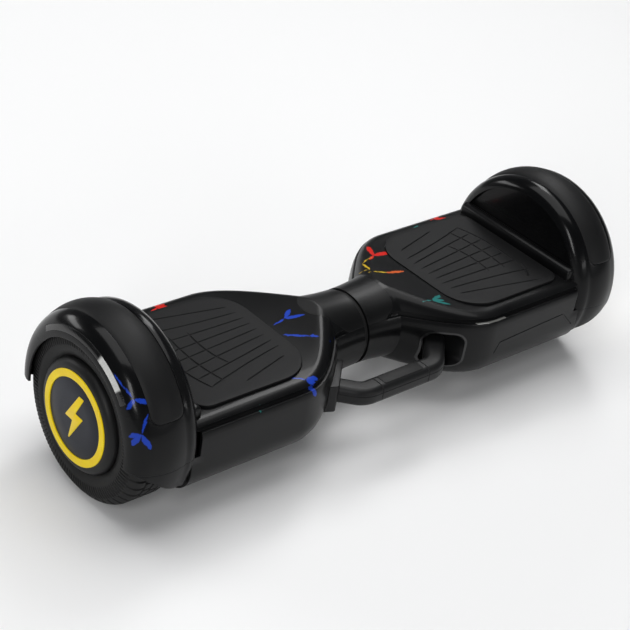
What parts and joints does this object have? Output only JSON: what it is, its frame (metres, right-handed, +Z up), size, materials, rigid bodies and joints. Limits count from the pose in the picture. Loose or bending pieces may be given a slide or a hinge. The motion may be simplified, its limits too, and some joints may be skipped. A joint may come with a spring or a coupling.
{
  "type": "self balancing hoverboard",
  "caption": "Two-wheeled self balancing board with hub motor wheels, foot pads, a pivoting neck, wheel fenders and a side carrying handle.",
  "frame": {"origin": "on the floor, below the middle of the wheels' common axle line", "axes": "+X along the axle towards the right wheel, -Y towards the carrying handle, +Z up"},
  "size_m": [0.6, 0.186, 0.175],
  "materials": {
    "gloss_shell": "high gloss black paint",
    "matte_trim": "fine matte charcoal",
    "handle_plastic": "satin and gloss black",
    "lamp_lens": "clear white lens",
    "cast_frame": "cast, satin",
    "steel_screws": "zinc plated",
    "pad_rubber": "moulded with grooves",
    "circuit_board": "solder mask green",
    "tyre_rubber": "solid rubber",
    "wheel_rim": "black anodised",
    "hub_plastic": "satin black",
    "yellow_ring": "gloss yellow",
    "badge_print": "gloss dark navy",
    "bearing_steel": "ground",
    "stator_iron": "laminated, copper wound",
    "cable_sheath": "smooth",
    "bush_plastic": "acetal",
    "seal_rubber": "soft matte",
    "battery_wrap": "heat shrink wrap",
    "button_plastic": "satin silver"
  },
  "bodies": {
    "left_half": {"upper_shell_left": "gloss_shell", "lower_shell_left": "gloss_shell", "fender_strip_left": "matte_trim", "wheel_lamp_lens_left": "lamp_lens", "deck_lamp_lens_left": "lamp_lens", "frame_left": "cast_frame", "axle_clamp_left": "cast_frame", "frame_screws_left": "steel_screws", "sensor_board_left": "circuit_board", "axle_left": "bearing_steel", "stator_left": "stator_iron", "motor_leads_left": "cable_sheath", "collar_left": "matte_trim", "handle_bracket": "matte_trim", "bracket_screws": "steel_screws", "pivot_tube": "bearing_steel", "circlip": "bearing_steel", "pivot_pins": "bearing_steel", "neck_seal": "seal_rubber", "battery_pack": "battery_wrap", "link_cable": "cable_sheath", "charge_port": "matte_trim", "handle_arm_left": "handle_plastic", "handle_grip": "handle_plastic", "handle_arm_right": "handle_plastic", "handle_core": "bearing_steel"},
    "right_half": {"upper_shell_right": "gloss_shell", "lower_shell_right": "gloss_shell", "fender_strip_right": "matte_trim", "wheel_lamp_lens_right": "lamp_lens", "deck_lamp_lens_right": "lamp_lens", "frame_right": "cast_frame", "axle_clamp_right": "cast_frame", "frame_screws_right": "steel_screws", "sensor_board_right": "circuit_board", "axle_right": "bearing_steel", "stator_right": "stator_iron", "motor_leads_right": "cable_sheath", "collar_right": "matte_trim", "handle_pocket": "matte_trim", "pivot_bushes": "bush_plastic", "main_board": "circuit_board", "button_housing": "matte_trim"},
    "wheel_left": {"tyre_left": "tyre_rubber", "motor_rim_left": "wheel_rim", "hub_cover_left": "hub_plastic", "hub_ring_left": "yellow_ring", "hub_badge_left": "badge_print", "wheel_bearings_left": "bearing_steel"},
    "wheel_right": {"tyre_right": "tyre_rubber", "motor_rim_right": "wheel_rim", "hub_cover_right": "hub_plastic", "hub_ring_right": "yellow_ring", "hub_badge_right": "badge_print", "wheel_bearings_right": "bearing_steel"},
    "pad_left": {"footpad_left": "pad_rubber"},
    "pad_right": {"footpad_right": "pad_rubber"},
    "power_button": {"power_button": "button_plastic"},
    "charge_cap": {"charge_cap": "seal_rubber"}
  },
  "joints": [
    {"name": "halves_tilt", "type": "hinge", "parent": "left_half", "child": "right_half", "pos_m": [0, 0, 0.078], "axis": [1, 0, 0], "range_deg": [-7, 7]},
    {"name": "wheel_left_spin", "type": "hinge", "parent": "left_half", "child": "wheel_left", "pos_m": [-0.27, 0, 0.081], "axis": [1, 0, 0], "continuous": true},
    {"name": "wheel_right_spin", "type": "hinge", "parent": "right_half", "child": "wheel_right", "pos_m": [0.27, 0, 0.081], "axis": [1, 0, 0], "continuous": true},
    {"name": "pad_left_press", "type": "slide", "parent": "left_half", "child": "pad_left", "axis": [0, 0, -1], "range_m": [0, 0.0008], "stiffness_N_per_m": 4000},
    {"name": "pad_right_press", "type": "slide", "parent": "right_half", "child": "pad_right", "axis": [0, 0, -1], "range_m": [0, 0.0008], "stiffness_N_per_m": 4000},
    {"name": "power_button_press", "type": "slide", "parent": "right_half", "child": "power_button", "axis": [0, -1, 0], "range_m": [0, 0.0012], "stiffness_N_per_m": 800},
    {"name": "charge_cap_lift", "type": "hinge", "parent": "left_half", "child": "charge_cap", "pos_m": [-0.15, 0.0912, 0.083], "axis": [1, 0, 0], "range_deg": [0, 100]}
  ]
}
